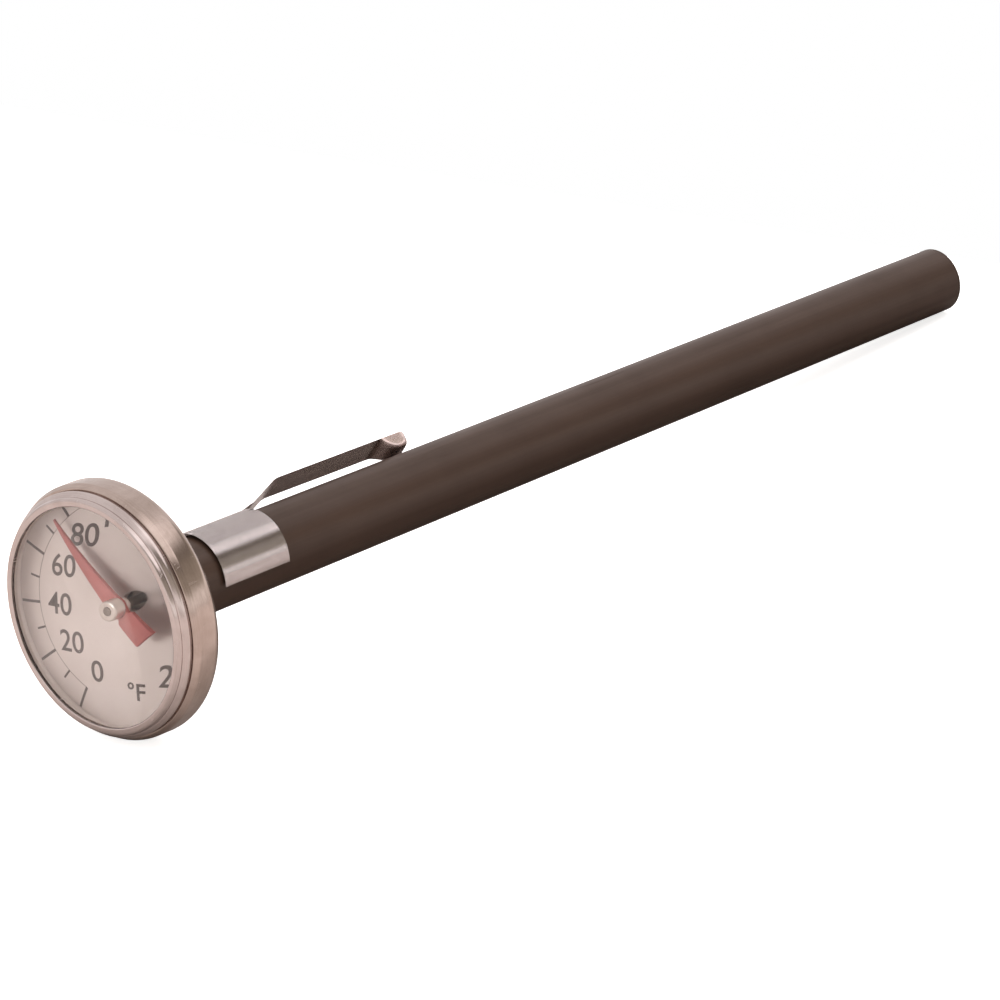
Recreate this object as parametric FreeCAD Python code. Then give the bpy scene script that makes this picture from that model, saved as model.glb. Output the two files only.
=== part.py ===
"""Pocket dial thermometer: a bimetal stem thermometer in a plastic sheath with a steel pocket clip.

Millimetres. The stem lies along Y and points to +Y, the dial faces -Y, and 12 o'clock on the
dial is +Z, so 3 o'clock is +X. The origin is on the stem's axis in the back face of the case.
"""
import FreeCAD
import Part

import math
import os

# Driving dimensions: case and window
case_radius = 14.0
case_depth = 5.5
case_wall = 0.6
case_floor = 0.5
case_back_round = 1.35
case_floor_round = 0.8
case_rim_depth = 1.5
case_rim_slope = 0.65
case_rim_step = 0.22
bezel_lip_radius = 12.98
bezel_lip_round = 0.25
bezel_lip_slant = 0.2
bezel_crease_start = 0.45
bezel_crease_bottom = 0.54
bezel_crease_depth = 0.08
bezel_bead_start = 0.62
bezel_bead_crest = 0.95
bezel_bead_end = 1.25
bezel_bead_radius = 13.45
bezel_groove_start = 1.35
bezel_groove_depth = 0.25
bezel_skirt_radius = case_radius - case_wall
bezel_skirt_wall = 0.45
bezel_skirt_end = -2.6
window_radius = 12.05
window_lip_thickness = 0.5
window_lip_round = 0.15
lens_radius = 12.9
lens_dome_radius = 34.0
lens_dome_inset = 0.1
lens_shoulder = 0.12
lens_back_depth = 1.2
gasket_thickness = 0.4
gasket_ledge = 0.1

# Driving dimensions: dial and pointer
dial_depth = 4.35
dial_thickness = 0.25
dial_edge_play = 0.2
dial_hole_radius = 0.9
spacer_inner = 12.6
support_ring_outer = 12.4
support_ring_inner = 11.2
pointer_depth = 3.5
pointer_thickness = 0.18
pointer_length = 10.6
pointer_tail = 3.95
pointer_tail_start = 1.3
pointer_tip_half = 0.08
pointer_root_half = 0.76
pointer_boss_half = 0.9
pointer_waist_half = 0.6
pointer_tail_half = 0.98
hub_radius = 1.0
hub_height = 0.65
hub_round = 0.15
hub_rivet_radius = 0.6
hub_collar = 0.2
scale_start = 210.0
scale_sweep = 300.0
scale_span = 220.0
reading = 78.0

# Driving dimensions: stem
stem_length = 127.0
stem_radius = 1.9
stem_spigot_radius = 1.7
stem_bore = 1.45
stem_tip_round = 0.9
tip_spigot_length = 0.9
tip_length = 1.6
neck_radius = 2.6
neck_top = -0.83
neck_play = 0.1
neck_socket_start = 5.0
neck_shoulder_radius = 3.2
neck_chamfer_length = 0.8
neck_chamfer_depth = 0.5
neck_end = 9.5
flange_radius = 4.0
flange_play = 0.08
nut_across_flats = 8.0
nut_start = 0.5
nut_height = 3.1
nut_chamfer = 0.4
staff_radius = 0.42
running_gap = 0.06
upper_bush_end = 1.5
lower_bush_start = 88.0
lower_bush_end = 90.5
coil_start = 96.0
coil_turns = 15
coil_pitch = 1.6
coil_radius = 1.1
coil_strip_width = 0.9
coil_strip_thickness = 0.2
coil_lift = 0.3
coil_clip_radius = 1.3
coil_clip_length = 1.4
staff_end = coil_start - 0.6
anchor_gap = 1.2
anchor_bore = 0.5

# Driving dimensions: sheath and clip
sheath_start = 4.0
sheath_end = 130.0
sheath_radius_start = 4.315
sheath_radius_end = 3.65
sheath_bore_start = 3.32
sheath_bore_end = 2.8
sheath_mouth_flare = 0.25
sheath_mouth_flare_length = 1.0
sheath_mouth_round = 0.35
sheath_end_round = 0.25
plug_flange = 0.4
plug_chamfer = 0.2
plug_spigot_play = 0.5
band_start = 9.6
band_end = 19.2
band_thickness = 0.45
band_reach_near = 144.0
band_reach_far = 125.0
band_play = 0.02
clip_clock = -50.0
clip_width = 3.6
clip_thickness = 0.5
clip_gap = 0.06
arm_ramp_start = 21.4
arm_root_bend = 1.2
arm_crest = 6.2
arm_crest_start = 26.2
arm_crest_bend = 3.0
arm_end_radius = 5.95
arm_end = 46.5
pad_start = 41.9
pad_peak = 44.3
pad_end = 46.3
pad_plane = 5.8
pad_clearance = 0.08
pad_stern_round = 1.9
pad_bow_round = 1.2

origin = FreeCAD.Vector(0, 0, 0)
along_stem = FreeCAD.Vector(0, 1, 0)
front_y = -case_depth
dial_y = front_y + dial_depth
pointer_y = front_y + pointer_depth
rim_y = front_y + case_rim_depth
seam_y = sheath_end - plug_flange
plug_nose_y = stem_length + 0.6
pointer_clock = scale_start + scale_sweep * reading / scale_span


def rounded_edges(corners, closed=True):
    """Edges through (x, y, corner radius) points, with a tangent arc at each rounded corner."""
    points = [FreeCAD.Vector(c[0], c[1], 0) for c in corners]
    radii = [c[2] if len(c) > 2 else 0 for c in corners]
    count = len(points)
    edges = []
    last = None
    first = None
    for i in range(count):
        here = points[i]
        ends = not closed and i in (0, count - 1)
        if radii[i] == 0 or ends:
            start, end, arc = here, here, None
        else:
            back = (points[i - 1] - here).normalize()
            ahead = (points[(i + 1) % count] - here).normalize()
            half_turn = back.getAngle(ahead) / 2
            cut = radii[i] / math.tan(half_turn)
            start = here + back * cut
            end = here + ahead * cut
            bisector = (back + ahead).normalize()
            centre = here + bisector * (radii[i] / math.sin(half_turn))
            arc = Part.Arc(start, centre - bisector * radii[i], end).toShape()
        if last is not None and (start - last).Length > 1e-7:
            edges.append(Part.LineSegment(last, start).toShape())
        if arc is not None:
            edges.append(arc)
        if first is None:
            first = start
        last = end
    if closed and (first - last).Length > 1e-7:
        edges.append(Part.LineSegment(last, first).toShape())
    return edges


def turned(corners):
    """Solid of revolution about the stem's axis from a closed (radius, y, corner radius) outline."""
    outline = Part.Face(Part.Wire(rounded_edges(corners)))
    return outline.revolve(origin, along_stem, 360)


def tube(outer, inner, start, end):
    """Plain ring or bush between two heights."""
    return turned([(inner, start), (outer, start), (outer, end), (inner, end)])


def turn_to_clock(shape, degrees):
    """Turn a shape made at 12 o'clock to another clock angle, clockwise as the dial is read."""
    turned_shape = shape.copy()
    turned_shape.rotate(origin, along_stem, degrees)
    return turned_shape


def sheath_radius_at(y):
    """Outer radius of the tapered sheath at a distance from the case."""
    share = (y - sheath_start) / (sheath_end - sheath_start)
    return sheath_radius_start + (sheath_radius_end - sheath_radius_start) * share


# Head

def case_cup():
    """Deep-drawn cup: round back corner, a hole for the stem, and a rim that meets the bezel."""
    return turned([
        (neck_radius + neck_play, 0),
        (case_radius, 0, case_back_round),
        (case_radius, rim_y + case_rim_slope, 0.5),
        (bezel_skirt_radius + case_rim_step, rim_y, 0.15),
        (bezel_skirt_radius, rim_y),
        (bezel_skirt_radius, -case_floor, case_floor_round),
        (neck_radius + neck_play, -case_floor),
    ])


def bezel_ring():
    """Rolled ring: flat lip over the lens, a crease, a sloping bead, a groove and a skirt."""
    skirt_inner = bezel_skirt_radius - bezel_skirt_wall
    groove_radius = bezel_bead_radius - bezel_groove_depth
    return turned([
        (window_radius, front_y + window_lip_thickness),
        (window_radius, front_y, window_lip_round),
        (bezel_lip_radius - bezel_lip_slant, front_y, bezel_lip_round),
        (bezel_lip_radius, front_y + bezel_crease_start, 0.1),
        (bezel_lip_radius - bezel_crease_depth, front_y + bezel_crease_bottom),
        (bezel_lip_radius + 0.1, front_y + bezel_bead_start, 0.05),
        (bezel_bead_radius - 0.03, front_y + bezel_bead_crest, bezel_lip_round),
        (bezel_bead_radius, front_y + bezel_bead_end, 0.1),
        (groove_radius, front_y + bezel_groove_start, 0.05),
        (groove_radius, rim_y),
        (bezel_skirt_radius, rim_y),
        (bezel_skirt_radius, bezel_skirt_end),
        (skirt_inner, bezel_skirt_end),
        (skirt_inner, front_y + window_lip_thickness),
    ])


def crystal_lens():
    """Plano-convex window: a spherical dome, with a flat flange that the bezel's lip holds."""
    dome_base = window_radius - lens_dome_inset
    flange_y = front_y + window_lip_thickness
    base_y = flange_y - lens_shoulder
    sphere_y = base_y + math.sqrt(lens_dome_radius ** 2 - dome_base ** 2)
    apex = FreeCAD.Vector(0, sphere_y - lens_dome_radius, 0)
    middle_radius = dome_base / 2
    middle_y = sphere_y - math.sqrt(lens_dome_radius ** 2 - middle_radius ** 2)
    edge = FreeCAD.Vector(dome_base, base_y, 0)
    dome = Part.Arc(apex, FreeCAD.Vector(middle_radius, middle_y, 0), edge)
    back_y = front_y + lens_back_depth
    rest = [
        (dome_base, base_y),
        (dome_base, flange_y),
        (lens_radius, flange_y),
        (lens_radius, back_y),
        (0, back_y),
        (0, apex.y),
    ]
    corners = [FreeCAD.Vector(x, y, 0) for x, y in rest]
    lines = [Part.LineSegment(a, b).toShape() for a, b in zip(corners, corners[1:])]
    outline = Part.Face(Part.Wire([dome.toShape()] + lines))
    return outline.revolve(origin, along_stem, 360)


def lens_gasket():
    """Soft ring between the lens and the spacer."""
    back_y = front_y + lens_back_depth
    return tube(lens_radius, spacer_inner - gasket_ledge, back_y, back_y + gasket_thickness)


def spacer_ring():
    """White ring that holds the dial down and the gasket up, and shows as the dial's side wall."""
    return tube(lens_radius, spacer_inner, front_y + lens_back_depth + gasket_thickness, dial_y)


def dial_plate():
    """Thin printed disc with a centre hole that clears the staff."""
    return tube(bezel_skirt_radius - dial_edge_play, dial_hole_radius, dial_y, dial_y + dial_thickness)


def dial_support_ring():
    """Ring that stands the dial plate off the case's floor, clear of the stem's flange."""
    return tube(support_ring_outer, support_ring_inner, dial_y + dial_thickness, -case_floor)


# Stem

def stem_neck():
    """Turned sleeve through the case and the nut, with a shoulder that the sheath's mouth grips."""
    shoulder = nut_start + nut_height
    return turned([
        (stem_bore, neck_top),
        (neck_radius, neck_top),
        (neck_radius, shoulder),
        (neck_shoulder_radius, shoulder),
        (neck_shoulder_radius, neck_end - neck_chamfer_length),
        (neck_shoulder_radius - neck_chamfer_depth, neck_end),
        (stem_spigot_radius, neck_end),
        (stem_spigot_radius, neck_socket_start),
        (stem_bore, neck_socket_start),
    ])


def stem_tube():
    """Drawn stainless tube, with a reduced end that is pressed into the neck's socket."""
    return turned([
        (stem_bore, neck_socket_start),
        (stem_spigot_radius, neck_socket_start),
        (stem_spigot_radius, neck_end),
        (stem_radius, neck_end),
        (stem_radius, stem_length - tip_length),
        (stem_bore, stem_length - tip_length),
    ])


def stem_tip():
    """Rounded tip with a spigot that closes the tube."""
    return turned([
        (0, stem_length - tip_length - tip_spigot_length),
        (stem_bore, stem_length - tip_length - tip_spigot_length),
        (stem_bore, stem_length - tip_length),
        (stem_radius, stem_length - tip_length),
        (stem_radius, stem_length, stem_tip_round),
        (0, stem_length),
    ])


def stem_flange():
    """Thin flange inside the case that keeps the neck from pulling out."""
    return tube(flange_radius, neck_radius, neck_top, -case_floor - flange_play)


def cone_washer():
    """Sprung conical washer between the case and the nut, which gives the drag of the adjustment."""
    foot_y = 0.06
    rise = 0.12
    thickness = 0.26
    foot_radius = nut_across_flats / 2 - 0.2
    return turned([
        (neck_radius + neck_play, foot_y + rise),
        (foot_radius, foot_y),
        (foot_radius, foot_y + thickness),
        (neck_radius + neck_play, foot_y + rise + thickness),
    ])


def calibration_nut():
    """Hex fixed on the neck: it is held in a spanner while the case is turned to set the dial."""
    flat = nut_across_flats / 2
    corner_radius = flat / math.cos(math.radians(30))
    corners = []
    for i in range(7):
        angle = math.radians(60 * i)
        x = corner_radius * math.cos(angle)
        corners.append(FreeCAD.Vector(x, nut_start, corner_radius * math.sin(angle)))
    prism = Part.Face(Part.makePolygon(corners)).extrude(along_stem * nut_height)
    outside = corner_radius + 0.1
    crown = turned([
        (neck_radius, nut_start),
        (flat, nut_start),
        (outside, nut_start + nut_chamfer),
        (outside, nut_start + nut_height - nut_chamfer),
        (flat, nut_start + nut_height),
        (neck_radius, nut_start + nut_height),
    ])
    return prism.common(crown)


def staff_bush(start, end):
    """Bush in the bore of the neck or the stem that guides the staff."""
    return tube(stem_bore, staff_radius + running_gap, start, end)


def helix_anchor():
    """Plug low in the stem that the coil's lower end is fixed to."""
    top = coil_start + coil_turns * coil_pitch + anchor_gap
    return tube(stem_bore, anchor_bore, top, stem_length - tip_length - tip_spigot_length)


# Pointer and movement

def pointer_hand():
    """Flat hand: a needle that tapers from the hub to its tip, and a square tail."""
    outline = [
        (pointer_length, pointer_tip_half),
        (pointer_boss_half, pointer_root_half),
        (0, pointer_boss_half),
        (-hub_radius, pointer_waist_half),
        (-pointer_tail_start, pointer_tail_half),
        (-pointer_tail, pointer_tail_half),
    ]
    upper = [FreeCAD.Vector(half, pointer_y, reach) for reach, half in outline]
    lower = [FreeCAD.Vector(-half, pointer_y, reach) for reach, half in reversed(outline)]
    corners = upper + lower + [upper[0]]
    blank = Part.Face(Part.makePolygon(corners)).extrude(along_stem * pointer_thickness)
    hole = Part.makeCylinder(hub_rivet_radius, 2, FreeCAD.Vector(0, pointer_y - 1, 0), along_stem)
    return turn_to_clock(blank.cut(hole), pointer_clock)


def pointer_hub():
    """Turned boss that is pressed on the staff and riveted through the hand."""
    back = pointer_y + pointer_thickness
    collar_radius = hub_rivet_radius + hub_collar
    collar_end = back + hub_collar
    return turned([
        (staff_radius, pointer_y - hub_height),
        (hub_radius, pointer_y - hub_height, hub_round),
        (hub_radius, pointer_y),
        (hub_rivet_radius, pointer_y),
        (hub_rivet_radius, back),
        (collar_radius, back),
        (collar_radius, collar_end),
        (staff_radius, collar_end),
    ])


def pointer_staff():
    """Long thin shaft from the pointer down to the coil."""
    return tube(staff_radius, 0, pointer_y - hub_height, staff_end)


def coil_clip():
    """Disc on the staff's lower end that carries the top of the coil."""
    return tube(coil_clip_radius, staff_radius, staff_end - coil_clip_length, staff_end)


def bimetal_coil():
    """Helix of bimetal strip, which winds up as it warms and turns the staff."""
    helix = Part.makeHelix(coil_pitch, coil_turns * coil_pitch, coil_radius)
    inner = coil_radius - coil_strip_thickness / 2
    outer = coil_radius + coil_strip_thickness / 2
    half_width = coil_strip_width / 2
    section = Part.makePolygon([
        FreeCAD.Vector(inner, 0, -half_width),
        FreeCAD.Vector(outer, 0, -half_width),
        FreeCAD.Vector(outer, 0, half_width),
        FreeCAD.Vector(inner, 0, half_width),
        FreeCAD.Vector(inner, 0, -half_width),
    ])
    coil = Part.Wire(helix).makePipeShell([section], True, True)
    coil.rotate(origin, FreeCAD.Vector(1, 0, 0), -90)
    coil.translate(along_stem * (staff_end + half_width + coil_lift))
    return coil


# Sheath and clip

def sheath_tube():
    """Tapered plastic tube with a flared mouth and a rounded mouth edge."""
    return turned([
        (sheath_bore_start + sheath_mouth_flare, sheath_start),
        (sheath_radius_start, sheath_start, sheath_mouth_round),
        (sheath_radius_at(seam_y), seam_y),
        (sheath_bore_end, seam_y),
        (sheath_bore_start, sheath_start + sheath_mouth_flare_length),
    ])


def sheath_end_plug():
    """Plug that closes the far end, with a thin flange flush with the tube's outside."""
    spigot_radius = sheath_bore_end - plug_spigot_play
    return turned([
        (0, plug_nose_y),
        (spigot_radius - plug_chamfer, plug_nose_y),
        (spigot_radius, plug_nose_y + plug_chamfer),
        (sheath_bore_end, seam_y),
        (sheath_radius_end, seam_y),
        (sheath_radius_end, sheath_end, sheath_end_round),
        (0, sheath_end),
    ])


def clip_band():
    """C-shaped spring band that snaps round the sheath, open on the side away from the clip's arm."""
    ring = turned([
        (sheath_radius_at(band_start) + band_play, band_start),
        (sheath_radius_at(band_start) + band_thickness, band_start),
        (sheath_radius_at(band_end) + band_thickness, band_end),
        (sheath_radius_at(band_end) + band_play, band_end),
    ])
    reach = 4 * sheath_radius_start
    wedge_start = band_start - 1
    middle = (band_reach_near + 360 - band_reach_far) / 2
    corners = [FreeCAD.Vector(0, wedge_start, 0)]
    for degrees in (band_reach_near, middle, 360 - band_reach_far):
        angle = math.radians(degrees)
        corners.append(FreeCAD.Vector(reach * math.sin(angle), wedge_start, reach * math.cos(angle)))
    wedge_face = Part.Face(Part.makePolygon(corners + corners[:1]))
    wedge = wedge_face.extrude(along_stem * (band_end - band_start + 2))
    return turn_to_clock(ring.cut(wedge), clip_clock)


def gripping_pad():
    """Boat-shaped bulge under the arm's end, which touches the sheath. It faces -X below its flat top."""
    depth = pad_plane - sheath_radius_at(pad_peak) - pad_clearance
    outline = Part.Face(Part.Wire(rounded_edges([
        (0, pad_start),
        (depth, pad_peak, pad_stern_round),
        (depth, pad_end, pad_bow_round),
        (0, pad_end),
    ])))
    outline.rotate(origin, along_stem, 90)
    pad = outline.revolve(origin, along_stem, 180)
    pad.translate(FreeCAD.Vector(pad_plane, 0, 0))
    return pad


def clip_arm():
    """Spring arm: a ramp off the band, and a long strip with a round end and a bulge that grips."""
    half = clip_thickness / 2
    half_width = clip_width / 2
    root_radius = sheath_radius_at(band_end) + 2 * band_play + half
    path = [
        (root_radius, band_end + clip_gap),
        (root_radius, arm_ramp_start, arm_root_bend),
        (arm_crest, arm_crest_start, arm_crest_bend),
        (arm_end_radius, arm_end),
    ]
    centre_line = Part.Wire(rounded_edges(path, closed=False))
    start_y = path[0][1]
    sides = [(-half, -half_width), (half, -half_width), (half, half_width), (-half, half_width)]
    corners = [FreeCAD.Vector(root_radius + r, start_y, z) for r, z in sides + sides[:1]]
    strip = centre_line.makePipeShell([Part.makePolygon(corners)], True, False)
    reach = 2 * clip_width
    round_centre = arm_end - half_width
    block = Part.makeBox(
        reach, half_width + 1, 2 * reach, FreeCAD.Vector(arm_end_radius - clip_width, round_centre, -reach))
    disc = Part.makeCylinder(
        half_width, 2 * reach, FreeCAD.Vector(0, round_centre, 0), FreeCAD.Vector(1, 0, 0))
    arm = strip.cut(block.cut(disc)).fuse(gripping_pad())
    arm.rotate(origin, along_stem, -90)
    return turn_to_clock(arm, clip_clock)


parts = {
    "case_cup": case_cup(),
    "bezel_ring": bezel_ring(),
    "crystal_lens": crystal_lens(),
    "lens_gasket": lens_gasket(),
    "spacer_ring": spacer_ring(),
    "dial_plate": dial_plate(),
    "dial_support_ring": dial_support_ring(),
    "stem_neck": stem_neck(),
    "stem_tube": stem_tube(),
    "stem_tip": stem_tip(),
    "stem_flange": stem_flange(),
    "cone_washer": cone_washer(),
    "calibration_nut": calibration_nut(),
    "upper_bush": staff_bush(neck_top, upper_bush_end),
    "lower_bush": staff_bush(lower_bush_start, lower_bush_end),
    "helix_anchor": helix_anchor(),
    "pointer_hand": pointer_hand(),
    "pointer_hub": pointer_hub(),
    "pointer_staff": pointer_staff(),
    "coil_clip": coil_clip(),
    "bimetal_coil": bimetal_coil(),
    "sheath_tube": sheath_tube(),
    "sheath_end_plug": sheath_end_plug(),
    "clip_band": clip_band(),
    "clip_arm": clip_arm(),
}

os.makedirs("parts", exist_ok=True)
for name, shape in parts.items():
    solids = shape.Solids
    box = shape.BoundBox
    print(name, len(solids), shape.isValid(), round(shape.Volume, 2),
          [round(v, 2) for v in (box.XMin, box.YMin, box.ZMin, box.XMax, box.YMax, box.ZMax)])
    shape.exportStep(f"parts/{name}.step")
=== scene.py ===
"""Looks of the pocket dial thermometer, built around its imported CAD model.

Lengths in the profiles are millimetres in the model's own frame, and meshes are made in metres:
the stem lies along +Y, the dial faces -Y, 12 o'clock is +Z and 3 o'clock is +X.
"""

import math

import bmesh
import bpy
from mathutils import Matrix, Vector


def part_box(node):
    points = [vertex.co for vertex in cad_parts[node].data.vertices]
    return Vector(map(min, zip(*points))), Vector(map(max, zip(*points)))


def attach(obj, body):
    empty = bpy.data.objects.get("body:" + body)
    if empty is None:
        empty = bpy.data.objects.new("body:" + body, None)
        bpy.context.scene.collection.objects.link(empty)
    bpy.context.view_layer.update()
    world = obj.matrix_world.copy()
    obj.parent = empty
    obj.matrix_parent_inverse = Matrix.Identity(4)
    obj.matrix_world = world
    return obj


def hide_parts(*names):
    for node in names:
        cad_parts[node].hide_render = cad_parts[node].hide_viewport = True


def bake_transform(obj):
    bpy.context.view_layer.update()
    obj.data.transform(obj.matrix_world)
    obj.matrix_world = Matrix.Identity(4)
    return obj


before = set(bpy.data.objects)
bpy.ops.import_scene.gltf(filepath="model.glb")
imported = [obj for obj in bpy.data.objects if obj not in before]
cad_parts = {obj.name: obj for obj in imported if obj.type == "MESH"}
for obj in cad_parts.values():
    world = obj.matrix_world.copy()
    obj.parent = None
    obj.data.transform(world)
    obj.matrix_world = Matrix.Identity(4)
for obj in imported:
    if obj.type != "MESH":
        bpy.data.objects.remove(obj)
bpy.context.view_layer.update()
MM = 0.001


def box_mm(node):
    """Lowest and highest corner of a CAD node in millimetres."""
    low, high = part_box(node)
    return low / MM, high / MM


# ---------------------------------------------------------------- node materials

class Shader:
    """A node material under construction."""

    def __init__(self, name):
        self.material = bpy.data.materials.new(name)
        self.material.use_nodes = True
        self.nodes = self.material.node_tree.nodes
        self.links = self.material.node_tree.links
        self.nodes.clear()
        self.out = self.nodes.new("ShaderNodeOutputMaterial")
        self.place = self.add("ShaderNodeTexCoord").outputs["Object"]

    def add(self, kind, inputs=None, **settings):
        node = self.nodes.new(kind)
        for key, value in settings.items():
            setattr(node, key, value)
        for key, value in (inputs or {}).items():
            if isinstance(value, bpy.types.NodeSocket):
                self.links.new(value, node.inputs[key])
            else:
                node.inputs[key].default_value = value
        return node

    def maths(self, operation, a, b=0.0, c=0.0):
        return self.add("ShaderNodeMath", {0: a, 1: b, 2: c}, operation=operation).outputs[0]

    def stretched(self, scale):
        """Object coordinates in metres, scaled differently along X, Y and Z."""
        return self.add("ShaderNodeMapping", {"Vector": self.place, "Scale": scale}).outputs[0]

    def spun(self, across, around):
        """Coordinates for noise in fine rings round the stem's axis: a turning vector and a radius."""
        split = self.add("ShaderNodeSeparateXYZ", {0: self.place}).outputs
        flat = self.add("ShaderNodeCombineXYZ", {0: split[0], 2: split[2]}).outputs[0]
        radius = self.add("ShaderNodeVectorMath", {0: flat}, operation="LENGTH").outputs["Value"]
        turn = self.add("ShaderNodeVectorMath", {0: flat}, operation="NORMALIZE").outputs[0]
        turn = self.add("ShaderNodeVectorMath", {0: turn, "Scale": around}, operation="SCALE").outputs[0]
        along = self.add("ShaderNodeCombineXYZ", {1: self.maths("MULTIPLY", split[1], across)}).outputs[0]
        vector = self.add("ShaderNodeVectorMath", {0: turn, 1: along}, operation="ADD").outputs[0]
        return vector, self.maths("MULTIPLY", radius, across)

    def facing_axis(self):
        """How far a face is turned towards the stem's axis, from 0 to 1."""
        split = self.add("ShaderNodeSeparateXYZ", {0: self.place}).outputs
        flat = self.add("ShaderNodeCombineXYZ", {0: split[0], 2: split[2]}).outputs[0]
        outward = self.add("ShaderNodeVectorMath", {0: flat}, operation="NORMALIZE").outputs[0]
        normal = self.add("ShaderNodeTexCoord").outputs["Normal"]
        turned = self.add("ShaderNodeVectorMath", {0: outward, 1: normal}, operation="DOT_PRODUCT")
        return self.ramp(turned.outputs["Value"], -0.45, -0.8)

    def noise(self, vector, scale=1.0, detail=3.0, rough=0.55, w=None, distortion=0.0):
        settings = {"noise_dimensions": "3D" if w is None else "4D"}
        inputs = {"Vector": vector, "Scale": scale, "Detail": detail, "Roughness": rough}
        inputs["Distortion"] = distortion
        if w is not None:
            inputs["W"] = w
        return self.add("ShaderNodeTexNoise", inputs, **settings).outputs["Fac"]

    def ramp(self, value, low, high, to_low=0.0, to_high=1.0):
        inputs = {"Value": value, "From Min": low, "From Max": high, "To Min": to_low, "To Max": to_high}
        return self.add("ShaderNodeMapRange", inputs).outputs[0]

    def mix(self, share, a, b):
        """Colour between a and b."""
        node = self.add("ShaderNodeMix", None, data_type="RGBA")
        for socket, value in ((node.inputs[0], share), (node.inputs[6], a), (node.inputs[7], b)):
            if isinstance(value, bpy.types.NodeSocket):
                self.links.new(value, socket)
            else:
                socket.default_value = value if socket.type == "VALUE" else (*value, 1.0)
        return node.outputs[2]

    def bump(self, height, strength, depth):
        inputs = {"Height": height, "Strength": strength, "Distance": depth}
        return self.add("ShaderNodeBump", inputs).outputs[0]

    def surface(self, **inputs):
        """A Principled shader. Even values go on its own sockets, and only what varies is linked."""
        named = {}
        for key, value in inputs.items():
            named[key.replace("_", " ")] = (*value, 1.0) if isinstance(value, tuple) else value
        return self.add("ShaderNodeBsdfPrincipled", named).outputs[0]

    def finish(self, shader):
        self.links.new(shader, self.out.inputs[0])
        return self.material


def metal(name, light, dark, gloss, grain="spun", lines=0.12, fine=9000.0, blotch=260.0, inner_face_shade=None):
    """Metal with fine working lines, faint smears in colour and gloss, and scattered hairline scratches.

    Faces turned towards the stem's axis take a dark painted shade colour, if one is given.
    """
    s = Shader(name)
    if grain == "spun":
        vector, radius = s.spun(fine, 3.0)
        line = s.noise(vector, detail=4.0, rough=0.7, w=radius)
    elif grain == "along":
        line = s.noise(s.stretched((fine, fine * 0.012, fine)), detail=4.0, rough=0.7)
    else:
        line = s.noise(s.place, scale=fine * 0.35, detail=3.0)
    smear = s.noise(s.place, scale=blotch, detail=4.0, rough=0.6, distortion=0.6)
    scratch = s.noise(s.stretched((2600.0, 160.0, 900.0)), detail=2.0, rough=0.4, distortion=1.5)
    scratched = s.ramp(scratch, 0.66, 0.72)
    tone = s.maths("ADD", s.maths("MULTIPLY", smear, 0.65), s.maths("MULTIPLY", line, 0.35))
    colour = s.mix(s.ramp(tone, 0.36, 0.64), dark, light)
    low, high = gloss
    rough = s.ramp(tone, 0.3, 0.7, high, low)
    rough = s.maths("ADD", rough, s.maths("MULTIPLY", scratched, 0.1))
    # Painted shade and reflection: faces turned to the axis are darkened as if shaded by the sheath.
    if inner_face_shade:
        colour = s.mix(s.facing_axis(), colour, inner_face_shade)
    height = s.maths("SUBTRACT", line, s.maths("MULTIPLY", scratched, 0.5))
    return s.finish(s.surface(Base_Color=colour, Metallic=1.0, Roughness=rough,
                              Normal=s.bump(height, lines, 0.00002)))


def plastic(name, light, dark, gloss, specular=0.5, streak=(900.0, 14.0, 900.0), relief=0.25,
            speck=5200.0):
    """Moulded plastic with flow streaks, a fine skin and handling marks."""
    s = Shader(name)
    flow = s.noise(s.stretched(streak), detail=4.0, rough=0.6)
    cloud = s.noise(s.place, scale=95.0, detail=4.0, rough=0.6)
    skin = s.noise(s.place, scale=speck, detail=2.0, rough=0.5)
    rub = s.noise(s.stretched((700.0, 90.0, 700.0)), detail=3.0, rough=0.5, distortion=1.0)
    tone = s.maths("ADD", s.maths("MULTIPLY", flow, 0.55), s.maths("MULTIPLY", cloud, 0.45))
    colour = s.mix(s.ramp(tone, 0.36, 0.64), dark, light)
    low, high = gloss
    rough = s.maths("ADD", s.ramp(tone, 0.35, 0.65, high, low), s.ramp(rub, 0.6, 0.75, 0.0, 0.12))
    height = s.maths("ADD", s.maths("MULTIPLY", skin, 0.5), flow)
    return s.finish(s.surface(Base_Color=colour, Roughness=rough, Specular_IOR_Level=specular,
                              Normal=s.bump(height, relief, 0.00003)))


def enamel(name, light, dark, gloss, relief=0.08, cloud_scale=170.0, speck=7000.0):
    """Baked paint with faint clouding, pinholes and orange peel."""
    s = Shader(name)
    cloud = s.noise(s.place, scale=cloud_scale, detail=5.0, rough=0.6)
    fine = s.noise(s.place, scale=speck, detail=2.0)
    peel = s.noise(s.place, scale=2300.0, detail=2.0)
    tone = s.maths("ADD", s.maths("MULTIPLY", cloud, 0.7), s.maths("MULTIPLY", fine, 0.3))
    colour = s.mix(s.ramp(tone, 0.38, 0.62), dark, light)
    low, high = gloss
    return s.finish(s.surface(Base_Color=colour, Roughness=s.ramp(cloud, 0.35, 0.65, high, low),
                              Normal=s.bump(s.maths("ADD", peel, fine), relief, 0.00002)))


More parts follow.
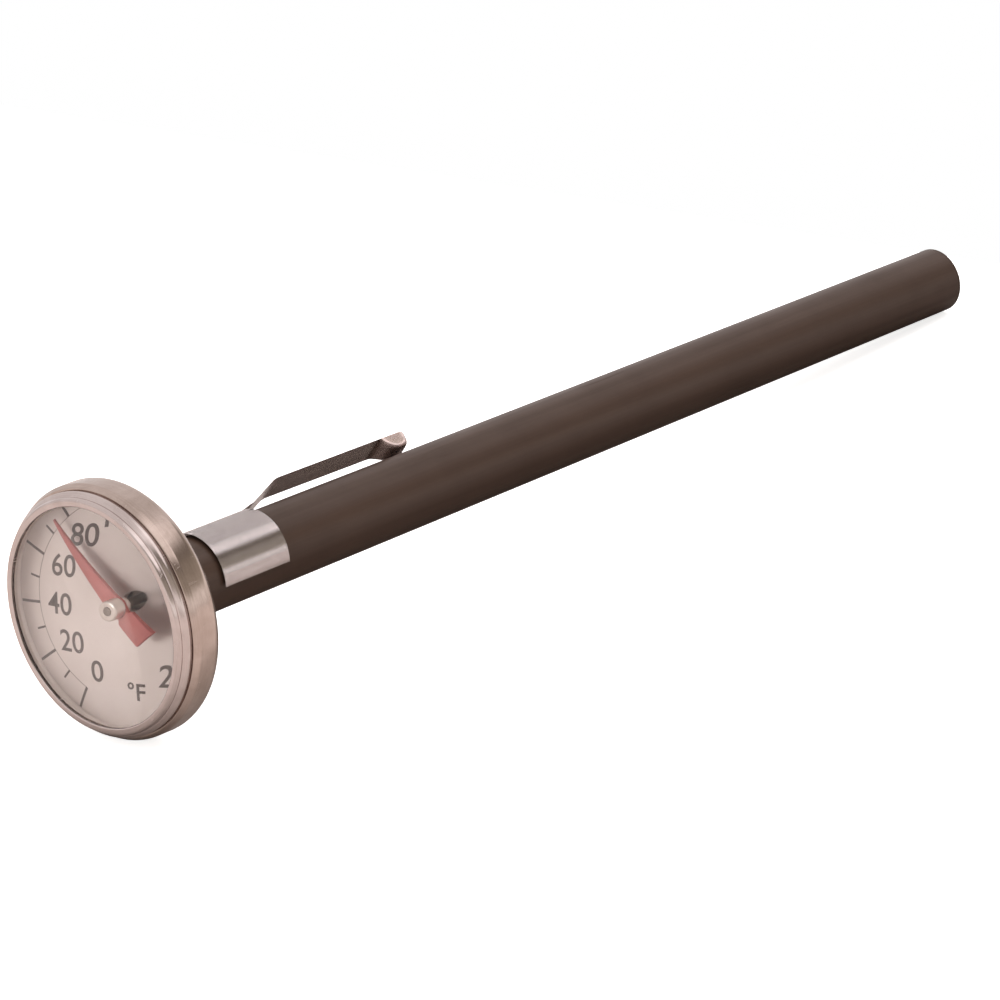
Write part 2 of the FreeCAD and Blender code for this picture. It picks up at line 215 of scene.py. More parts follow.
def window_glass(name):
    """Clear window: faint moulding ripple and hairlines, and light goes through it to the dial."""
    s = Shader(name)
    ripple = s.noise(s.place, scale=120.0, detail=1.0)
    hair = s.noise(s.stretched((900.0, 900.0, 5200.0)), detail=2.0, distortion=1.2)
    rough = s.maths("ADD", s.ramp(ripple, 0.3, 0.7, 0.012, 0.03), s.ramp(hair, 0.7, 0.76, 0.0, 0.03))
    glass = s.surface(Base_Color=(0.985, 0.985, 0.97), Roughness=rough, IOR=1.49, Transmission_Weight=1.0,
                      Normal=s.bump(ripple, 0.02, 0.0001))
    clear = s.add("ShaderNodeBsdfTransparent", {"Color": (0.93, 0.93, 0.92, 1.0)}).outputs[0]
    lamp = s.add("ShaderNodeLightPath").outputs["Is Shadow Ray"]
    return s.finish(s.add("ShaderNodeMixShader", {0: lamp, 1: glass, 2: clear}).outputs[0])


# ---------------------------------------------------------------- mesh making

SEGMENTS = 192


def corner_points(corners, closed=True, steps=6):
    """(radius, y) points of an outline of (radius, y, corner radius) with its corners rounded."""
    points = []
    count = len(corners)
    for i, corner in enumerate(corners):
        here = Vector(corner[:2])
        size = corner[2] if len(corner) > 2 else 0.0
        if size == 0.0 or (not closed and i in (0, count - 1)):
            points.append(here)
            continue
        back = (Vector(corners[i - 1][:2]) - here).normalized()
        ahead = (Vector(corners[(i + 1) % count][:2]) - here).normalized()
        half = back.angle(ahead) / 2
        cut = size / math.tan(half)
        middle = here + (back + ahead).normalized() * (size / math.sin(half))
        start = here + back * cut - middle
        end = here + ahead * cut - middle
        sweep = start.angle(end)
        for k in range(steps + 1):
            share = k / steps
            points.append(middle + (start * math.sin((1 - share) * sweep)
                                    + end * math.sin(share * sweep)) / math.sin(sweep))
    return points


def make_object(name, mesh, material, body, nodes=(), ride=True):
    """Adds a piece with its finish, the body it rides on and the CAD nodes it stands for."""
    piece = bpy.data.objects.new(name, mesh)
    bpy.context.scene.collection.objects.link(piece)
    mesh.materials.append(material)
    if ride:
        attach(piece, body)
    if nodes:
        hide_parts(*nodes)
    return piece


def smooth(mesh, angle=35.0):
    mesh.shade_smooth()
    mesh.set_sharp_from_angle(angle=math.radians(angle))


def lathe_mesh(name, outline, segments=SEGMENTS):
    """Closed solid of revolution about the stem's axis from a closed outline in millimetres."""
    book = bmesh.new()
    rings = []
    for point in outline:
        radius, y = max(point[0], 0.0), point[1]
        if radius < 1e-6:
            rings.append([book.verts.new((0.0, y * MM, 0.0))])
            continue
        ring = []
        for k in range(segments):
            angle = 2 * math.pi * k / segments
            x, z = radius * math.sin(angle), radius * math.cos(angle)
            ring.append(book.verts.new((x * MM, y * MM, z * MM)))
        rings.append(ring)
    for i, ring in enumerate(rings):
        after = rings[(i + 1) % len(rings)]
        for k in range(segments):
            m = (k + 1) % segments
            a = [ring[k], ring[m]] if len(ring) > 1 else [ring[0]]
            b = [after[m], after[k]] if len(after) > 1 else [after[0]]
            if len(a) + len(b) > 2:
                book.faces.new(a + b)
    bmesh.ops.recalc_face_normals(book, faces=book.faces)
    mesh = bpy.data.meshes.new(name)
    book.to_mesh(mesh)
    book.free()
    smooth(mesh)
    return mesh


def lathe(name, corners, material, body, nodes=(), steps=6):
    mesh = lathe_mesh(name, corner_points(corners, steps=steps))
    return make_object(name, mesh, material, body, nodes)


def plate_mesh(name, outlines, y_front, thickness, edge=0.0):
    """Flat pieces cut from sheet: (x, z) outlines in millimetres, thickened to +Y, with eased edges."""
    book = bmesh.new()
    for outline in outlines:
        low = [book.verts.new((x * MM, y_front * MM, z * MM)) for x, z in outline]
        high = [book.verts.new((x * MM, (y_front + thickness) * MM, z * MM)) for x, z in outline]
        book.faces.new(low)
        book.faces.new(list(reversed(high)))
        count = len(outline)
        for i in range(count):
            m = (i + 1) % count
            book.faces.new([low[i], high[i], high[m], low[m]])
    bmesh.ops.recalc_face_normals(book, faces=book.faces)
    if edge:
        rim = [e for e in book.edges if e.calc_face_angle(0.0) > math.radians(40)]
        bmesh.ops.bevel(book, geom=rim, offset=edge * MM, segments=2, profile=0.5, affect="EDGES")
    mesh = bpy.data.meshes.new(name)
    book.to_mesh(mesh)
    book.free()
    return mesh


def at_clock(radius, degrees):
    """(x, z) at a radius and a clock angle, clockwise as the dial is read."""
    angle = math.radians(degrees)
    return radius * math.sin(angle), radius * math.cos(angle)


# ---------------------------------------------------------------- finishes

case_finish = metal("case_steel", (0.56, 0.465, 0.415), (0.41, 0.33, 0.285), (0.12, 0.22))
bezel_finish = metal("bezel_steel", (0.64, 0.565, 0.54), (0.51, 0.44, 0.415), (0.12, 0.22))
# The clip's faces towards the sheath get a dark painted shade colour.
clip_finish = metal("clip_nickel", (0.97, 0.90, 0.885), (0.90, 0.83, 0.815), (0.11, 0.19), "along", 0.02,
                    fine=4200.0, inner_face_shade=(0.13, 0.10, 0.085))
stem_finish = metal("stem_steel", (0.62, 0.60, 0.58), (0.50, 0.48, 0.46), (0.14, 0.26))
nut_finish = metal("nut_steel", (0.58, 0.56, 0.54), (0.46, 0.44, 0.42), (0.22, 0.38))
spring_finish = metal("spring_steel", (0.48, 0.47, 0.46), (0.36, 0.35, 0.34), (0.25, 0.4))
brass_finish = metal("bush_brass", (0.75, 0.56, 0.27), (0.62, 0.44, 0.2), (0.2, 0.36))
ring_finish = metal("ring_aluminium", (0.72, 0.72, 0.73), (0.6, 0.6, 0.61), (0.28, 0.42))
hub_finish = metal("hub_aluminium", (0.74, 0.68, 0.64), (0.6, 0.54, 0.5), (0.3, 0.42))
# The staff's steel is darkened as painted shade in the dial's centre hole.
shade_dark_staff_finish = metal("staff_steel", (0.30, 0.26, 0.23), (0.2, 0.17, 0.15), (0.35, 0.5))
coil_finish = metal("bimetal", (0.50, 0.40, 0.28), (0.38, 0.31, 0.24), (0.25, 0.4), "all")
sheath_finish = plastic("sheath_plastic", (0.060, 0.035, 0.024), (0.042, 0.023, 0.015), (0.36, 0.5), 0.33)
spacer_finish = plastic("white_plastic", (0.80, 0.73, 0.69), (0.74, 0.66, 0.62), (0.45, 0.6))
gasket_finish = plastic("gasket_rubber", (0.6, 0.55, 0.5), (0.5, 0.45, 0.41), (0.6, 0.75))
dial_finish = enamel("dial_white", (0.68, 0.585, 0.56), (0.62, 0.53, 0.50), (0.4, 0.55))
ink_finish = enamel("dial_ink", (0.12, 0.09, 0.085), (0.085, 0.063, 0.058), (0.5, 0.65))
faint_ink_finish = enamel("dial_ink_faint", (0.36, 0.28, 0.25), (0.30, 0.24, 0.21), (0.5, 0.65))
red_finish = enamel("pointer_red", (0.44, 0.115, 0.105), (0.36, 0.085, 0.08), (0.32, 0.45))
glass_finish = window_glass("lens_clear")


def refinish(node, material):
    """Gives a carried-over CAD node its detailed finish."""
    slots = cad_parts[node].data.materials
    slots.clear()
    slots.append(material)


# ---------------------------------------------------------------- head

case_low, case_high = box_mm("case_cup")
bezel_low, bezel_high = box_mm("bezel_ring")
neck_low = box_mm("stem_neck")[0]
case_radius = case_high.x
case_wall = 0.6
case_floor = 0.5
case_back_round = 1.35
case_floor_round = 0.8
case_rim_slope = 0.65
case_rim_round = 0.5
case_rim_step = 0.22
case_rim_edge = 0.15
case_hole = 2.7
case_hole_round = 0.12
groove_radii = (4.9, 5.15, 5.55, 5.8)
groove_depth = 0.14
groove_round = 0.1
skirt = case_radius - case_wall
rim_y = case_low.y
front = bezel_low.y
groove_levels = (0, -groove_depth, -groove_depth, 0)
groove = [(radius, y, groove_round) for radius, y in zip(groove_radii, groove_levels)]
lathe("case_shell", [
    (case_hole, -case_floor), (case_hole, 0, case_hole_round), *groove,
    (case_radius, 0, case_back_round), (case_radius, rim_y + case_rim_slope, case_rim_round),
    (skirt + case_rim_step, rim_y, case_rim_edge), (skirt, rim_y), (skirt, -case_floor, case_floor_round),
], case_finish, "head", ["case_cup"], steps=10)

window = 12.05
window_round = 0.15
lip = 12.98
lip_thickness = 0.5
lip_slant = 0.2
lip_round = 0.3
lip_edge_round = 0.12
crease_start = 0.45
crease_bottom = 0.54
crease_depth = 0.08
crease_round = 0.03
bead = bezel_high.x
bead_start = 0.62
bead_foot = 0.1
bead_foot_round = 0.08
bead_crest = 0.95
bead_crest_inset = 0.03
bead_round = 0.3
bead_end = 1.25
bead_end_round = 0.1
dark_groove_start = 1.35
dark_groove_depth = 0.25
dark_groove_round = 0.04
skirt_wall = 0.45
skirt_inner = skirt - skirt_wall
lathe("bezel_rolled", [
    (window, front + lip_thickness), (window, front, window_round), (lip - lip_slant, front, lip_round),
    (lip, front + crease_start, lip_edge_round),
    (lip - crease_depth, front + crease_bottom, crease_round),
    (lip + bead_foot, front + bead_start, bead_foot_round),
    (bead - bead_crest_inset, front + bead_crest, bead_round), (bead, front + bead_end, bead_end_round),
    (bead - dark_groove_depth, front + dark_groove_start, dark_groove_round),
    (bead - dark_groove_depth, rim_y), (skirt, rim_y), (skirt, bezel_high.y),
    (skirt_inner, bezel_high.y), (skirt_inner, front + lip_thickness),
], bezel_finish, "head", ["bezel_ring"], steps=8)

lens_high = box_mm("crystal_lens")[1]
dome_radius = 34.0
dome_steps = 40
dome_edge = window - 0.1
dome_base = front + 0.38
flange_y = front + 0.51
sphere = dome_base + math.sqrt(dome_radius ** 2 - dome_edge ** 2)
dome = []
for k in range(dome_steps + 1):
    reach = dome_edge * k / dome_steps
    dome.append((reach, sphere - math.sqrt(dome_radius ** 2 - reach ** 2)))
lathe("window_crystal", dome + [
    (dome_edge, flange_y), (lens_high.x, flange_y), (lens_high.x, lens_high.y), (0.0, lens_high.y),
], glass_finish, "head", ["crystal_lens"])

dial_low, dial_high = box_mm("dial_plate")
dial_y = dial_low.y
dial_hole = 0.9
dial_round = 0.03
lathe("dial_face", [
    (dial_hole, dial_y, dial_round), (dial_high.x, dial_y, dial_round),
    (dial_high.x, dial_high.y, dial_round), (dial_hole, dial_high.y, dial_round),
], dial_finish, "head", ["dial_plate"], steps=3)
spacer_low, spacer_high = box_mm("spacer_ring")
spacer_inner = 12.6
spacer_round = 0.04
spacer_foot = dial_y - 0.01
lathe("spacer_wall", [
    (spacer_inner, spacer_low.y, spacer_round), (spacer_high.x, spacer_low.y),
    (spacer_high.x, spacer_foot), (spacer_inner, spacer_foot, spacer_round),
], spacer_finish, "head", ["spacer_ring"], steps=3)

# Printed scale: an inner arc, a tick at each 10 degrees, and a number at each 20.
SCALE_START = 210.0
SCALE_SWEEP = 300.0
SCALE_SPAN = 220
READING = 78.0
TICK_STEP = 10
LABEL_STEP = 20
arc_radius = 9.85
arc_half = 0.045
tick_end = 12.5
tick_half = 0.13
minor_end = 11.05
minor_half = 0.1
label_radius = 7.75
label_height = 2.1
label_shift = 0.4
label_weight = 0.008
short_width = 0.98
long_width = 0.8
ink_y = dial_y - 0.012
ink_depth = 0.02
arc_sink = 0.004


def scale_clock(value):
    return SCALE_START + SCALE_SWEEP * value / SCALE_SPAN


def tick_outline(value, inner, outer, half):
    """Corner points of one tick, which points at the centre."""
    clock = scale_clock(value)
    side = at_clock(half, clock + 90)
    a, b = at_clock(inner, clock), at_clock(outer, clock)
    corners = ((a, -1), (b, -1), (b, 1), (a, 1))
    return [(p[0] + side[0] * t, p[1] + side[1] * t) for p, t in corners]


ticks = []
for value in range(0, SCALE_SPAN + 1, TICK_STEP):
    major = value % LABEL_STEP == 0
    reach = tick_end if major else minor_end
    ticks.append(tick_outline(value, arc_radius, reach, tick_half if major else minor_half))
make_object("dial_ticks", plate_mesh("dial_ticks", ticks, ink_y, ink_depth), ink_finish, "head")

arcs = []
for k in range(SCALE_SPAN):
    a, b = scale_clock(k), scale_clock(k + 1)
    arcs.append([at_clock(arc_radius - arc_half, a), at_clock(arc_radius + arc_half, a),
                 at_clock(arc_radius + arc_half, b), at_clock(arc_radius - arc_half, b)])
arc_mesh = plate_mesh("dial_arc", arcs, ink_y + arc_sink, ink_depth - arc_sink)
make_object("dial_arc", arc_mesh, faint_ink_finish, "head")


def printed(name, labels, weight):
    """One mesh of upright labels (text, x, z, height, width share), printed on the dial."""
    book = bmesh.new()
    for text, x, z, height, width in labels:
        curve = bpy.data.curves.new(name, "FONT")
        curve.body = text
        curve.align_x = "CENTER"
        curve.align_y = "CENTER"
        curve.size = 1.0
        curve.offset = weight
        curve.extrude = 0.5
        curve.resolution_u = 6
        maker = bpy.data.objects.new(name, curve)
        mesh = bpy.data.meshes.new_from_object(maker)
        low = min(v.co.y for v in mesh.vertices)
        high = max(v.co.y for v in mesh.vertices)
        left = min(v.co.x for v in mesh.vertices)
        right = max(v.co.x for v in mesh.vertices)
        size = height / (high - low)
        for v in mesh.vertices:
            across = (v.co.x - (left + right) / 2) * size * width
            up = (v.co.y - (low + high) / 2) * size
            depth = ink_y + ink_depth * (0.5 - v.co.z)
            v.co = ((x + across) * MM, depth * MM, (z + up) * MM)
        book.from_mesh(mesh)
        bpy.data.objects.remove(maker)
        bpy.data.curves.remove(curve)
        bpy.data.meshes.remove(mesh)
    bmesh.ops.remove_doubles(book, verts=book.verts, dist=1e-7)
    bmesh.ops.recalc_face_normals(book, faces=book.faces)
    result = bpy.data.meshes.new(name)
    book.to_mesh(result)
    book.free()
    return result


labels = []
for value in range(0, SCALE_SPAN + 1, LABEL_STEP):
    x, z = at_clock(label_radius, scale_clock(value))
    label_width = short_width if value < 100 else long_width
    labels.append((str(value), x + label_shift, z, label_height, label_width))
make_object("dial_numerals", printed("dial_numerals", labels, label_weight), ink_finish, "head")
unit_place = (0.5, -8.3)
unit_height = 1.8
unit_width = 0.9
unit_weight = 0.014
unit = [("°F", *unit_place, unit_height, unit_width)]
make_object("dial_unit", printed("dial_unit", unit, unit_weight), ink_finish, "head")

# ---------------------------------------------------------------- pointer

hand_low, hand_high = box_mm("pointer_hand")
POINTER_CLOCK = scale_clock(READING)
tip = (10.6, 0.08)
blade_root = (0.9, 0.76)
boss = (0.0, 0.9)
waist = (-1.0, 0.6)
tail_start = (-1.3, 0.9)
tail_end = (-3.95, 0.98)
hand_outline = [tip, blade_root, boss, waist, tail_start, tail_end]
hand_edge = 0.03


def hand_point(reach, side):
    along = at_clock(reach, POINTER_CLOCK)
    across = at_clock(side, POINTER_CLOCK + 90)
    return along[0] + across[0], along[1] + across[1]


hand = [hand_point(r, h) for r, h in hand_outline]
hand += [hand_point(r, -h) for r, h in reversed(hand_outline)]
hand_mesh = plate_mesh("pointer_blade", [hand], hand_low.y, hand_high.y - hand_low.y, hand_edge)
smooth(hand_mesh, 50)
make_object("pointer_blade", hand_mesh, red_finish, "pointer", ["pointer_hand"])

hub_low, hub_high = box_mm("pointer_hub")
hub_bore = 0.43
hub_bore_edge = 0.5
hub_bore_chamfer = 0.05
hub_radius = 1.0
hub_round = 0.2
hub_rivet = 0.6
hub_collar = 0.8
lathe("pointer_boss", [
    (hub_bore, hub_low.y + hub_bore_chamfer, 0.03), (hub_bore_edge, hub_low.y, 0.04),
    (hub_radius, hub_low.y, hub_round), (hub_radius, hand_low.y, 0.03),
    (hub_rivet, hand_low.y), (hub_rivet, hand_high.y), (hub_collar, hand_high.y),
    (hub_collar, hub_high.y, 0.05), (hub_bore, hub_high.y),
], hub_finish, "pointer", ["pointer_hub"])

# ---------------------------------------------------------------- stem

tube_high = box_mm("stem_tube")[1]
tip_low, tip_high = box_mm("stem_tip")
stem_radius = 1.9
stem_bore = 1.45
spigot_radius = 1.7
spigot_start, spigot_end = 5.0, 9.5
bore_gap = 0.01
seam_gap = 0.005
stem_edge = 0.03
stem_tip_round = 0.9
lathe("stem_tube_drawn", [
    (stem_bore, spigot_start), (spigot_radius, spigot_start), (spigot_radius, spigot_end),
    (stem_radius, spigot_end, 0.08), (stem_radius, tube_high.y, stem_edge), (stem_bore, tube_high.y),
], stem_finish, "stem", ["stem_tube"])
tip_start = tube_high.y + seam_gap
lathe("stem_tip_round", [
    (0.0, tip_low.y), (stem_bore - bore_gap, tip_low.y, 0.1), (stem_bore - bore_gap, tip_start),
    (stem_radius, tip_start, stem_edge), (stem_radius, tip_high.y, stem_tip_round), (0.0, tip_high.y),
], stem_finish, "stem", ["stem_tip"], steps=10)
neck_radius = 2.6
shoulder_radius = 3.2
shoulder_start, shoulder_end = 3.6, 8.7
neck_nose = 2.7
neck_bore = spigot_radius + 0.02
lathe("stem_neck_turned", [
    (stem_bore + bore_gap, neck_low.y), (neck_radius, neck_low.y, 0.1), (neck_radius, shoulder_start),
    (shoulder_radius, shoulder_start, 0.12), (shoulder_radius, shoulder_end, 0.25),
    (neck_nose, spigot_end, 0.15), (neck_bore, spigot_end), (neck_bore, spigot_start),
    (stem_bore + bore_gap, spigot_start),
], nut_finish, "stem", ["stem_neck"])

# ---------------------------------------------------------------- sheath

sheath_low, sheath_high = box_mm("sheath_tube")
plug_high = box_mm("sheath_end_plug")[1]
SHEATH_START = sheath_low.y
SHEATH_END = plug_high.y
MOUTH_RADIUS = sheath_high.x
END_RADIUS = plug_high.x


def sheath_radius(y):
    share = (y - SHEATH_START) / (SHEATH_END - SHEATH_START)
    return MOUTH_RADIUS + (END_RADIUS - MOUTH_RADIUS) * share


seam = sheath_high.y
mouth_bore = 3.57
throat_bore = 3.32
throat_depth = 1.0
end_bore = 2.82
mouth_round = 0.35
mouth_inner_round = 0.1
seam_round = 0.05
lathe("sheath_barrel", [
    (mouth_bore, SHEATH_START, mouth_inner_round), (MOUTH_RADIUS, SHEATH_START, mouth_round),
    (sheath_radius(seam), seam, seam_round), (end_bore, seam), (throat_bore, SHEATH_START + throat_depth),
], sheath_finish, "sheath", ["sheath_tube"], steps=8)
plug_start = 127.6
plug_nose = 2.1
plug_step = (2.3, 127.9)
plug_radius = 2.8
end_round = 0.25
dish_radii = (1.9, 1.4)
dish_depth = 0.12
dish_round = 0.4
lathe("sheath_cap", [
    (0.0, plug_start), (plug_nose, plug_start), plug_step, (plug_radius, seam + seam_gap),
    (END_RADIUS, seam + seam_gap, seam_round), (END_RADIUS, SHEATH_END, end_round),
    (dish_radii[0], SHEATH_END, dish_round), (dish_radii[1], SHEATH_END - dish_depth, dish_round),
    (0.0, SHEATH_END - dish_depth),
], sheath_finish, "sheath", ["sheath_end_plug"], steps=8)

# ---------------------------------------------------------------- clip

CLIP_CLOCK = -50.0
BAND_START, BAND_END = 9.6, 19.2
STRIP_HALF = 1.8
ROOT_FLARE = 0.4
BAND_NEAR, BAND_FAR = 144.0, 125.0
THICK = 0.43
BAND_STANDOFF = 0.45
ARM_END = 46.5
RAMP_START, RAMP_BEND = 21.4, 1.2
CREST, CREST_RADIUS, CREST_BEND = 26.2, 6.42, 3.0
ARM_END_RADIUS = 6.17
ARM_STEP = 0.24
BAND_ROWS = 16
BAND_ANGLE_STEP = 4.0
HALF_COLUMNS = 14
FLARE_LENGTH = 0.9
FLATTENING_LENGTH = 2.2
NARROWEST_END = 0.05
root_radius = sheath_radius(BAND_END) + BAND_STANDOFF
arm_path = [
    (BAND_END, root_radius), (RAMP_START, root_radius, RAMP_BEND), (CREST, CREST_RADIUS, CREST_BEND),
    (ARM_END, ARM_END_RADIUS),
]
PAD_START, PAD_PEAK, PAD_END = 41.9, 44.5, 46.35
PAD_DEPTH = 1.55


def pad_depth(y):
    """How far the middle of the arm's gripping bulge dips below the strip."""
    if not PAD_START < y < PAD_END:
        return 0.0
    if y < PAD_PEAK:
        share = (y - PAD_START) / (PAD_PEAK - PAD_START)
        return PAD_DEPTH * math.sin(share * math.pi / 2) ** 1.3
    share = (y - PAD_PEAK) / (PAD_END - PAD_PEAK)
    return PAD_DEPTH * math.sqrt(max(0.0, 1 - share ** 3))


def path_samples(path, step):
    """Points at even spacing along a (y, radius, corner radius) path."""
    dense = corner_points(path, closed=False, steps=12)
    lengths = [0.0]
    for a, b in zip(dense, dense[1:]):
        lengths.append(lengths[-1] + (b - a).length)
    total = lengths[-1]
    count = round(total / step)
    samples = []
    k = 0
    for i in range(count + 1):
        want = total * i / count
        while k < len(dense) - 2 and lengths[k + 1] < want:
            k += 1
        share = (want - lengths[k]) / (lengths[k + 1] - lengths[k])
        samples.append((want, dense[k].lerp(dense[k + 1], share)))
    return samples, total


def clip_mesh():
    """The clip's outer face as a sheet: a band round the sheath, and an arm off its far edge."""
    book = bmesh.new()
    clock = math.radians(CLIP_CLOCK)
    steps = range(-HALF_COLUMNS, HALF_COLUMNS + 1)
    columns = [math.sin(math.radians(90 * c / HALF_COLUMNS)) for c in steps]
    root_half = STRIP_HALF + ROOT_FLARE

    def point(radius_out, sideways, y):
        x = radius_out * math.sin(clock) + sideways * math.cos(clock)
        z = radius_out * math.cos(clock) - sideways * math.sin(clock)
        return book.verts.new((x * MM, y * MM, z * MM))

    def ring_point(radius, angle, y):
        return point(radius * math.cos(angle), radius * math.sin(angle), y)

    def band_radius(y):
        return sheath_radius(y) + BAND_STANDOFF

    def side_angles(reach):
        """Angles from the arm's root to one end of the band."""
        sweep = math.radians(reach) - middle_angles[-1]
        count = round(sweep / math.radians(BAND_ANGLE_STEP))
        step = sweep / count
        return [middle_angles[-1] + step * (i + 1) for i in range(count)]

    edge_radius = band_radius(BAND_END)
    middle_angles = [math.asin(c * root_half / edge_radius) for c in columns]
    far = [-a for a in reversed(side_angles(BAND_FAR))]
    angles = far + middle_angles + side_angles(BAND_NEAR)
    rows = []
    for i in range(BAND_ROWS + 1):
        y = BAND_START + (BAND_END - BAND_START) * i / BAND_ROWS
        rows.append([ring_point(band_radius(y), a, y) for a in angles])
    for low, high in zip(rows, rows[1:]):
        for k in range(len(angles) - 1):
            book.faces.new([low[k], low[k + 1], high[k + 1], high[k]])
    last = rows[-1][len(far):len(far) + len(columns)]
    samples, total = path_samples(arm_path, ARM_STEP)
    for run, where in samples[1:]:
        y, out = where
        flare = max(0.0, 1 - run / FLARE_LENGTH)
        half = STRIP_HALF + ROOT_FLARE * (1 - math.sqrt(1 - flare * flare))
        left = total - run
        if left < STRIP_HALF:
            half = max(math.sqrt(STRIP_HALF ** 2 - (STRIP_HALF - left) ** 2), NARROWEST_END)
        flatness = min(1.0, run / FLATTENING_LENGTH)
        flatness = flatness * flatness * (3 - 2 * flatness)
        depth = pad_depth(y)
        row = []
        for c in columns:
            side = c * half
            sag = edge_radius - math.sqrt(edge_radius ** 2 - side ** 2)
            bulge = depth * (1 - abs(c) ** 6)
            row.append(point(out - sag * (1 - flatness) - bulge, side, y))
        for k in range(len(columns) - 1):
            book.faces.new([last[k], last[k + 1], row[k + 1], row[k]])
        last = row
    # The new faces have no normals yet, so this doubles the sheet and gives it no thickness.
    bmesh.ops.solidify(book, geom=book.faces[:], thickness=THICK * MM)
    bmesh.ops.recalc_face_normals(book, faces=book.faces)
    mesh = bpy.data.meshes.new("clip_spring")
    book.to_mesh(mesh)
    book.free()
    return mesh


def round_edges(piece, width, angle):
    """Eases a piece's sharp edges and keeps the result as its mesh."""
    modifier = piece.modifiers.new("BEVEL", "BEVEL")
    modifier.width = width * MM
    modifier.segments = 3
    modifier.limit_method = "ANGLE"
    modifier.angle_limit = math.radians(angle)
    graph = bpy.context.evaluated_depsgraph_get()
    result = bpy.data.meshes.new_from_object(piece.evaluated_get(graph))
    piece.modifiers.clear()
    piece.data = result


clip = make_object("clip_spring", clip_mesh(), clip_finish, "sheath",
                   ["clip_band", "clip_arm"], ride=False)
CLIP_EDGE = 0.09
SHARP_ANGLE = 50
round_edges(clip, CLIP_EDGE, SHARP_ANGLE)
smooth(clip.data, SHARP_ANGLE)
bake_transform(clip)

# ---------------------------------------------------------------- carried-over nodes

for node, material in {
    "lens_gasket": gasket_finish, "dial_support_ring": ring_finish, "stem_flange": nut_finish,
    "cone_washer": spring_finish, "calibration_nut": nut_finish, "upper_bush": shade_dark_staff_finish,
    "lower_bush": brass_finish, "helix_anchor": nut_finish, "pointer_staff": shade_dark_staff_finish,
    "coil_clip": brass_finish, "bimetal_coil": coil_finish,
}.items():
    refinish(node, material)

# ---------------------------------------------------------------- stage, light and camera

# The thermometer lies on its case and its cap, on a floor that ends just past the cap, so that the
# sheath can slide off clear of it.
FLOOR_RADIUS = 3.0
FLOOR_END = 0.145
FLOOR_GAP = 0.05
head_foot = case_low.z
cap_foot = -END_RADIUS
tilt = math.atan2(cap_foot - head_foot, SHEATH_END)
floor_middle = FLOOR_END - FLOOR_RADIUS
floor_mesh = bpy.data.meshes.new("floor")
book = bmesh.new()
bmesh.ops.create_circle(book, cap_ends=True, segments=96, radius=FLOOR_RADIUS)
book.to_mesh(floor_mesh)
book.free()
floor = bpy.data.objects.new("floor", floor_mesh)
bpy.context.scene.collection.objects.link(floor)
floor.matrix_world = (Matrix.Translation((0, 0, (head_foot - FLOOR_GAP) * MM))
                      @ Matrix.Rotation(tilt, 4, "X") @ Matrix.Translation((0, floor_middle, 0)))


def floor_finish():
    """Pale paper to the eye. What the metal mirrors has a painted shadow: dark along the thermometer's
    footprint, paler away from it.
    """
    white, off_white = (0.94, 0.94, 0.93), (0.9, 0.9, 0.89)
    open_tone, shade_tone = (0.74, 0.665, 0.635), (0.19, 0.165, 0.145)
    across, along, middle = 45.0, 13.5, 0.9
    s = Shader("floor")
    grain = s.noise(s.place, scale=30.0, detail=3.0)
    paper = s.surface(Base_Color=s.mix(grain, off_white, white), Roughness=0.9)
    # Painted shadow for mirrored rays: the floor darkens from open_tone to shade_tone towards the
    # thermometer's footprint.
    painted_shadow_place = s.add("ShaderNodeMapping", {
        "Vector": s.place, "Location": (0.0, along * floor_middle - middle, 0.0),
        "Scale": (across, along, 0.0)}).outputs[0]
    distance = s.add("ShaderNodeVectorMath", {0: painted_shadow_place}, operation="LENGTH").outputs["Value"]
    shade = s.surface(Base_Color=s.mix(s.ramp(distance, 0.7, 1.5), shade_tone, open_tone), Roughness=0.9)
    glow = s.add("ShaderNodeEmission", {"Color": (1.0, 1.0, 0.995, 1.0), "Strength": 0.75}).outputs[0]
    seen = s.add("ShaderNodeLightPath").outputs["Is Camera Ray"]
    lifted = s.add("ShaderNodeAddShader", {0: paper, 1: glow}).outputs[0]
    return s.finish(s.add("ShaderNodeMixShader", {0: seen, 1: shade, 2: lifted}).outputs[0])


floor_mesh.materials.append(floor_finish())

# Radiance of the right of the room by height above the horizon in degrees, and of all of its left.
STUDIO = [
    (-90, (0.55, 0.49, 0.46)), (-3, (0.55, 0.49, 0.46)), (1, (1.1, 1.02, 0.99)), (8, (1.25, 1.17, 1.14)),
    (13, (0.50, 0.44, 0.38)), (28, (0.40, 0.35, 0.30)), (32, (0.24, 0.205, 0.18)),
    (37, (0.26, 0.22, 0.19)), (42, (1.5, 1.41, 1.41)), (90, (1.6, 1.52, 1.52)),
]
LEFT_ROOM = (0.90, 0.84, 0.83, 1.0)
RIGHT_EDGE = 0.22
BACKDROP = (1.0, 1.0, 1.0, 1.0)
world = bpy.data.worlds.new("studio")
bpy.context.scene.world = world
world.use_nodes = True
tree = world.node_tree
tree.nodes.clear()


def world_node(kind, inputs=None, **settings):
    node = tree.nodes.new(kind)
    for key, value in settings.items():
        setattr(node, key, value)
    for key, value in (inputs or {}).items():
        if isinstance(value, bpy.types.NodeSocket):
            tree.links.new(value, node.inputs[key])
        else:
            node.inputs[key].default_value = value
    return node


def ramp_place(degrees):
    """Place on the sky's colour ramp of a height above the horizon."""
    return (math.sin(math.radians(degrees)) + 1) / 2


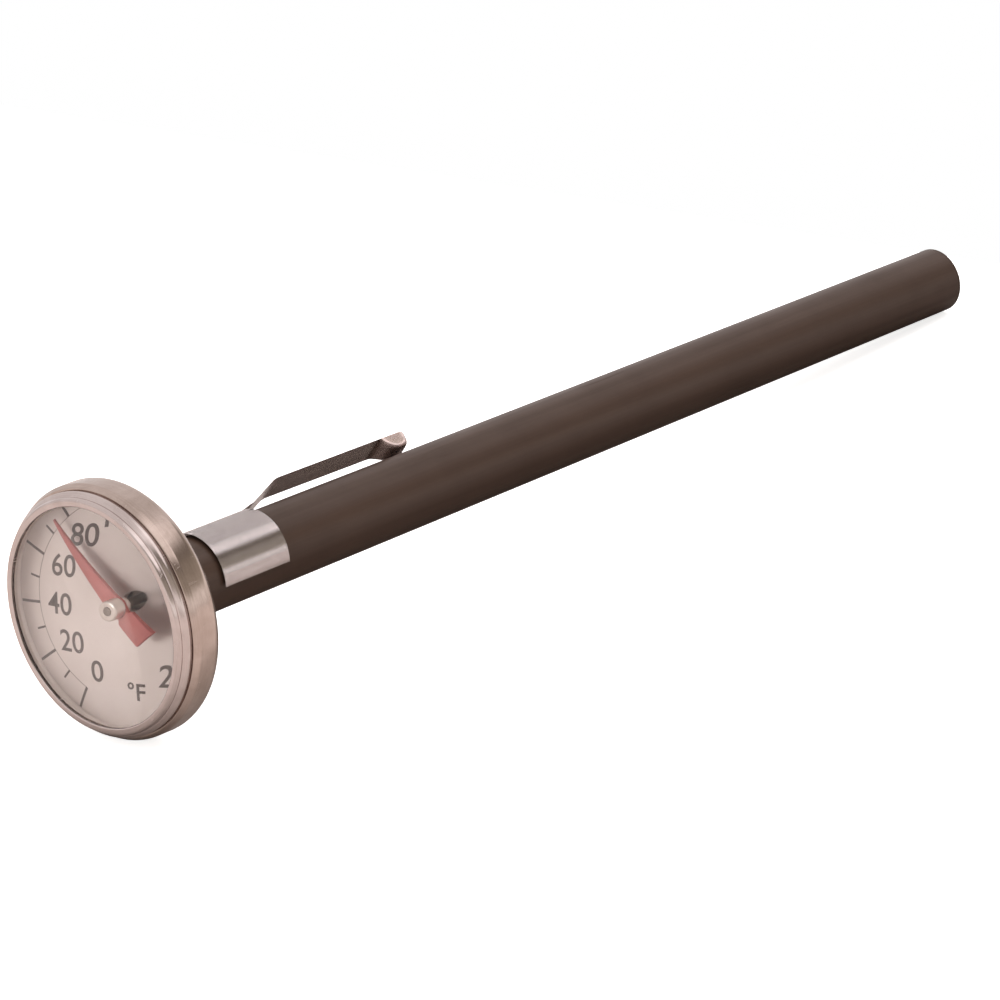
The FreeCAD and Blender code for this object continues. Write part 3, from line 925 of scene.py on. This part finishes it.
direction = world_node("ShaderNodeTexCoord").outputs["Generated"]
split = world_node("ShaderNodeSeparateXYZ", {0: direction}).outputs
height = world_node("ShaderNodeMath", {0: split[2], 1: 0.5, 2: 0.5}, operation="MULTIPLY_ADD").outputs[0]
right = world_node("ShaderNodeMapRange", {
    "Value": split[0], "From Min": 0.0, "From Max": RIGHT_EDGE}).outputs[0]
sky = world_node("ShaderNodeValToRGB", {0: height})
bands = sky.color_ramp.elements
for degrees, colour in STUDIO[1:-1]:
    bands.new(ramp_place(degrees))
for band, (degrees, colour) in zip(bands, STUDIO):
    band.position = ramp_place(degrees)
    band.color = (*colour, 1.0)
room = world_node("ShaderNodeMix", {0: right, 6: LEFT_ROOM, 7: sky.outputs[0]}, data_type="RGBA")
studio = world_node("ShaderNodeBackground", {0: room.outputs[2], 1: 1.0}).outputs[0]
plain = world_node("ShaderNodeBackground", {0: BACKDROP, 1: 1.0}).outputs[0]
seen = world_node("ShaderNodeLightPath").outputs["Is Camera Ray"]
choice = world_node("ShaderNodeMixShader", {0: seen, 1: studio, 2: plain}).outputs[0]
world_node("ShaderNodeOutputWorld", {0: choice})


def softbox(name, place, aim, size, power):
    """Rectangular area light at a place in metres that faces a point and isn't mirrored."""
    lamp = bpy.data.lights.new(name, "AREA")
    lamp.shape = "RECTANGLE"
    lamp.size, lamp.size_y = size
    lamp.energy = power
    holder = bpy.data.objects.new(name, lamp)
    bpy.context.scene.collection.objects.link(holder)
    holder.location = place
    holder.visible_glossy = False
    holder.rotation_euler = (Vector(aim) - Vector(place)).to_track_quat("-Z", "Y").to_euler()


stem_middle = (0.0, 0.06, 0.0)
dial_middle = (0.0, 0.0, 0.0)
softbox("top_box", (0.05, 0.10, 0.55), stem_middle, (0.7, 0.5), 1.6)
softbox("front_box", (-0.14, -0.6, 0.12), dial_middle, (0.2, 0.2), 0.9)

CAMERA_PLACE = (0.61309, -0.55804, 0.27509)
CAMERA_TURN = (71.7334, 4.6567, 43.1360)
CAMERA_LENS = 300.48
CAMERA_SHIFT = (-0.04324, 0.04165)
camera_data = bpy.data.cameras.new("camera")
camera_data.sensor_width = 36.0
camera_data.lens = CAMERA_LENS
camera_data.shift_x, camera_data.shift_y = CAMERA_SHIFT
camera_data.clip_start = 0.01
camera = bpy.data.objects.new("camera", camera_data)
bpy.context.scene.collection.objects.link(camera)
camera.location = CAMERA_PLACE
camera.rotation_euler = [math.radians(angle) for angle in CAMERA_TURN]
bpy.context.scene.camera = camera
bpy.context.scene.view_settings.view_transform = "Standard"
